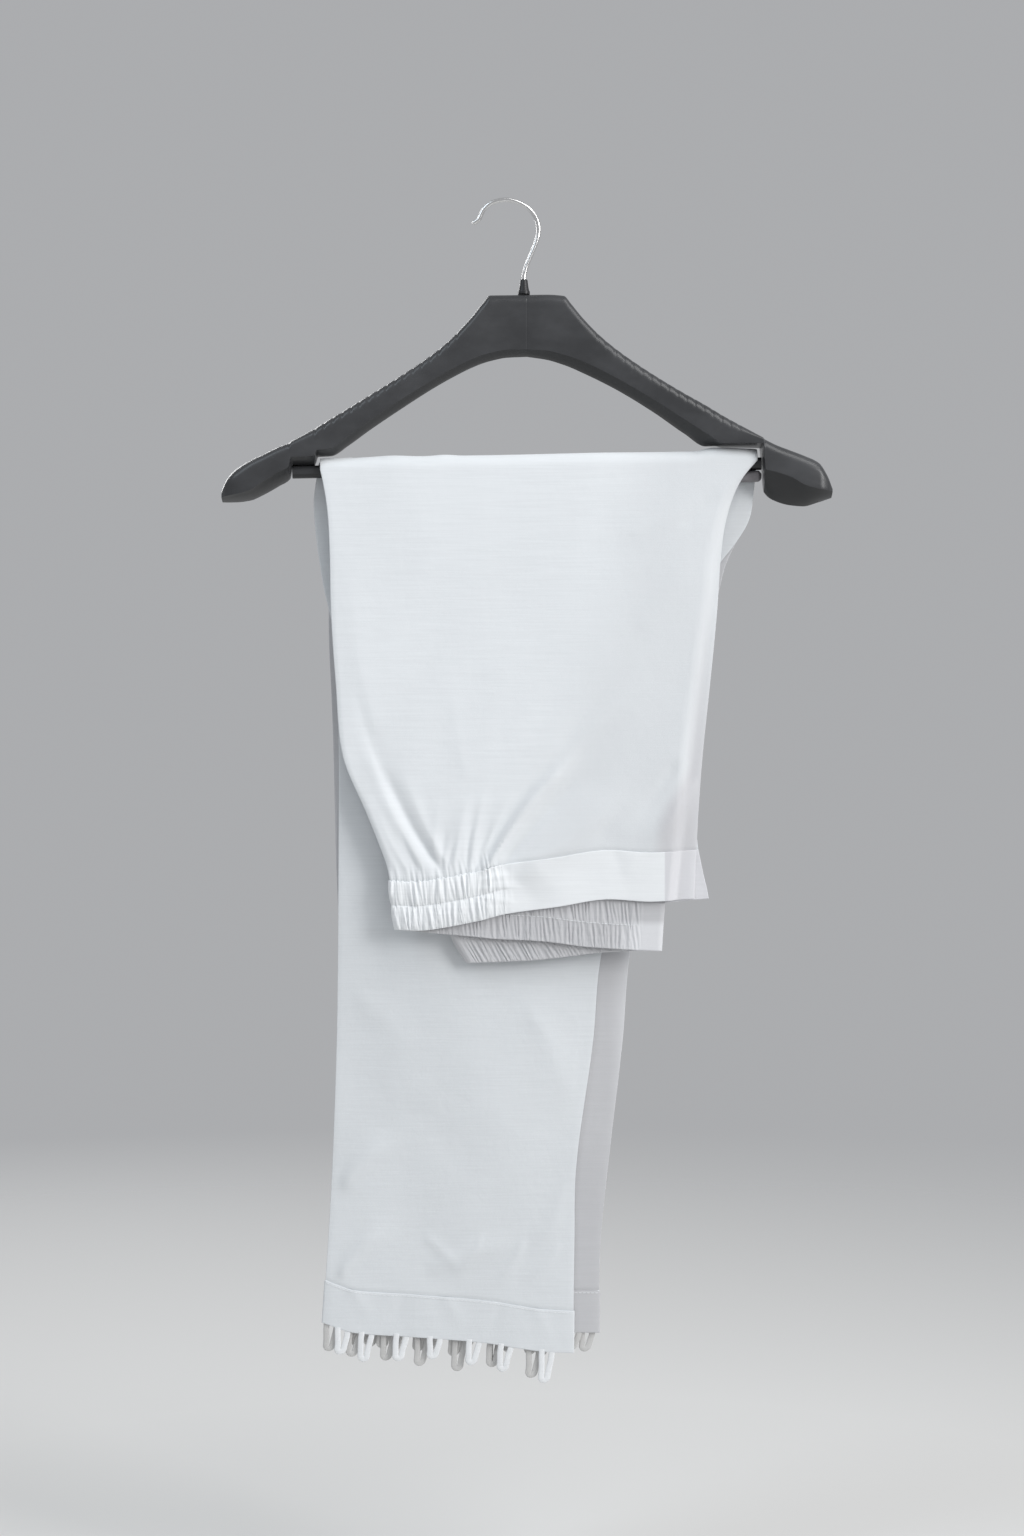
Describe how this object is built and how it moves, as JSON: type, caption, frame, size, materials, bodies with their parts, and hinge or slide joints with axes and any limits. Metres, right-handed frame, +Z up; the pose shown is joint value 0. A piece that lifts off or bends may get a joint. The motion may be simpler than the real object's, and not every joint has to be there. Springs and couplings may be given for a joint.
{
  "type": "straight-leg trousers on a suit hanger",
  "caption": "White straight-leg trousers with a half-elastic waist and looped hems, folded in half over the rail of a dark suit hanger.",
  "frame": {"origin": "inner top of the hanger's hook, where a clothes rail bears", "axes": "+Z up, +X to the viewer's right along the hanger, +Y away from the viewer, through the flat of the cloth"},
  "size_m": [0.4296, 0.0328, 0.8381],
  "materials": {
    "white_cotton": "matt plain weave",
    "white_tape": "matt folded tape",
    "charcoal_plastic": "moulded semi-gloss",
    "grey_grip": "matt",
    "chrome_wire": "bright plated"
  },
  "bodies": {
    "root": {"outer_leg_front": "white_cotton", "outer_leg_back": "white_cotton", "inner_leg_back": "white_cotton", "inner_leg_front": "white_cotton", "outer_waistband_front": "white_cotton", "outer_waistband_elastic": "white_cotton", "inner_waistband_front": "white_cotton", "inner_waistband_elastic": "white_cotton", "outer_hem_band": "white_cotton", "inner_hem_band": "white_cotton", "outer_hem_loop_01": "white_tape", "outer_hem_loop_02": "white_tape", "outer_hem_loop_03": "white_tape", "outer_hem_loop_04": "white_tape", "outer_hem_loop_05": "white_tape", "outer_hem_loop_06": "white_tape", "outer_hem_loop_07": "white_tape", "outer_hem_loop_08": "white_tape", "outer_hem_loop_09": "white_tape", "outer_hem_loop_10": "white_tape", "outer_hem_loop_11": "white_tape", "outer_hem_loop_12": "white_tape", "outer_hem_loop_13": "white_tape", "outer_hem_loop_14": "white_tape", "inner_hem_loop_01": "white_tape", "inner_hem_loop_02": "white_tape", "inner_hem_loop_03": "white_tape", "inner_hem_loop_04": "white_tape", "inner_hem_loop_05": "white_tape", "inner_hem_loop_06": "white_tape", "inner_hem_loop_07": "white_tape", "inner_hem_loop_08": "white_tape", "inner_hem_loop_09": "white_tape", "inner_hem_loop_10": "white_tape", "inner_hem_loop_11": "white_tape", "inner_hem_loop_12": "white_tape", "inner_hem_loop_13": "white_tape", "inner_hem_loop_14": "white_tape", "hanger_body": "charcoal_plastic", "hanger_rail": "charcoal_plastic", "hanger_ferrule": "charcoal_plastic", "hanger_grip": "grey_grip", "hanger_hook": "chrome_wire"}
  },
  "joints": []
}
